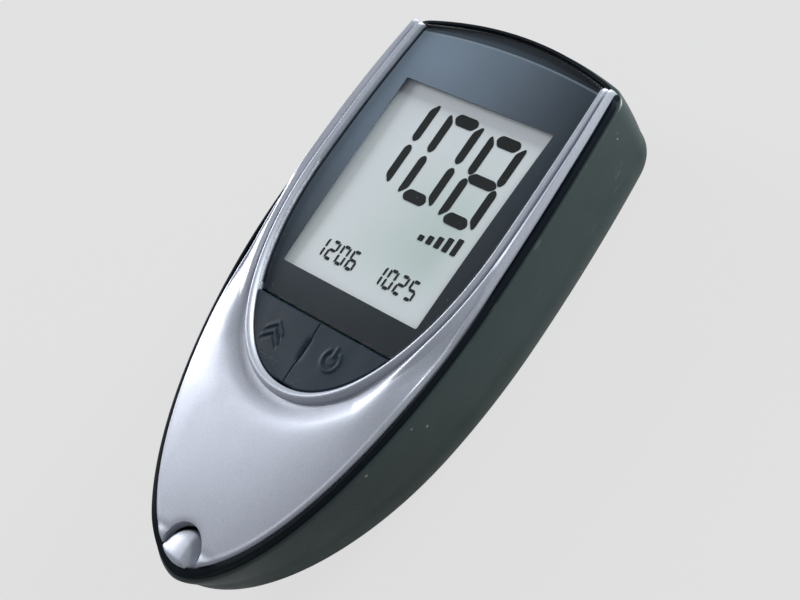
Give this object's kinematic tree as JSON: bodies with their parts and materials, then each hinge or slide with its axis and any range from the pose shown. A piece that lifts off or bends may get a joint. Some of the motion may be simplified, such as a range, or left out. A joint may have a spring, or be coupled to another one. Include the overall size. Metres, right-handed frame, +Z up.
{
  "type": "blood glucose meter",
  "caption": "Tapering hand-held test-strip meter with a tall number display, two keys, a strip port in the nose and a sliding battery door.",
  "frame": {"origin": "middle of the bounding box, on the table that the meter lies on", "axes": "+Y towards the display end, +Z up out of the display, +X to the reader's right"},
  "size_m": [0.051, 0.1, 0.0203],
  "materials": {
    "case_plastic": "dark satin plastic",
    "silver_plastic": "fine silver paint on plastic",
    "lens": "clear polished plastic",
    "mask": "dark slate print",
    "lcd_glass": "pale grey green display glass",
    "lcd_ink": "dark segments",
    "white_film": "matt white film",
    "white_plastic": "moulded white plastic",
    "zebra_rubber": "layered rubber",
    "key_plastic": "satin slate plastic",
    "black_plastic": "moulded black plastic",
    "plunger_plastic": "moulded tan plastic",
    "board": "green solder mask",
    "chip": "moulded black epoxy",
    "tin": "bright tin",
    "capacitor": "fired ceramic",
    "cream_plastic": "moulded cream plastic",
    "gold": "gold plated spring metal",
    "cell_can": "plain sleeve over a steel can",
    "nickel": "nickel plated sheet",
    "steel": "zinc plated steel"
  },
  "bodies": {
    "case": {"rear_case": "case_plastic", "front_cover": "silver_plastic", "display_lens": "lens", "display_mask": "mask", "lcd_panel": "lcd_glass", "lcd_digits": "lcd_ink", "lcd_reflector": "white_film", "lcd_frame": "white_plastic", "lcd_connectors": "zebra_rubber", "key_guide": "black_plastic", "left_switch": "black_plastic", "right_switch": "black_plastic", "main_board": "board", "processor_chip": "chip", "memory_chip": "chip", "display_driver": "chip", "clock_crystal": "tin", "board_capacitors": "capacitor", "buzzer": "chip", "strip_port_guide": "silver_plastic", "strip_socket": "cream_plastic", "strip_contacts": "gold", "left_cell": "cell_can", "right_cell": "cell_can", "contact_plates": "nickel", "contact_springs": "nickel", "case_screws": "steel", "board_screws": "steel"},
    "battery_door": {"battery_door": "case_plastic"},
    "left_key": {"left_key": "key_plastic"},
    "right_key": {"right_key": "key_plastic"},
    "left_plunger": {"left_plunger": "plunger_plastic"},
    "right_plunger": {"right_plunger": "plunger_plastic"}
  },
  "joints": [
    {"name": "door_slide", "type": "slide", "parent": "case", "child": "battery_door", "axis": [0, 1, 0], "range_m": [0, 0.048]},
    {"name": "left_key_press", "type": "slide", "parent": "case", "child": "left_key", "axis": [0, 0, -1], "range_m": [0, 0.0005], "stiffness_N_per_m": 800},
    {"name": "left_plunger_press", "type": "slide", "parent": "case", "child": "left_plunger", "axis": [0, 0, -1], "range_m": [0, 0.0006]},
    {"name": "right_key_press", "type": "slide", "parent": "case", "child": "right_key", "axis": [0, 0, -1], "range_m": [0, 0.0005], "stiffness_N_per_m": 800},
    {"name": "right_plunger_press", "type": "slide", "parent": "case", "child": "right_plunger", "axis": [0, 0, -1], "range_m": [0, 0.0006]}
  ],
  "couplings": [
    {"joint": "left_plunger_press", "follows": "left_key_press", "ratio": 1},
    {"joint": "right_plunger_press", "follows": "right_key_press", "ratio": 1}
  ]
}
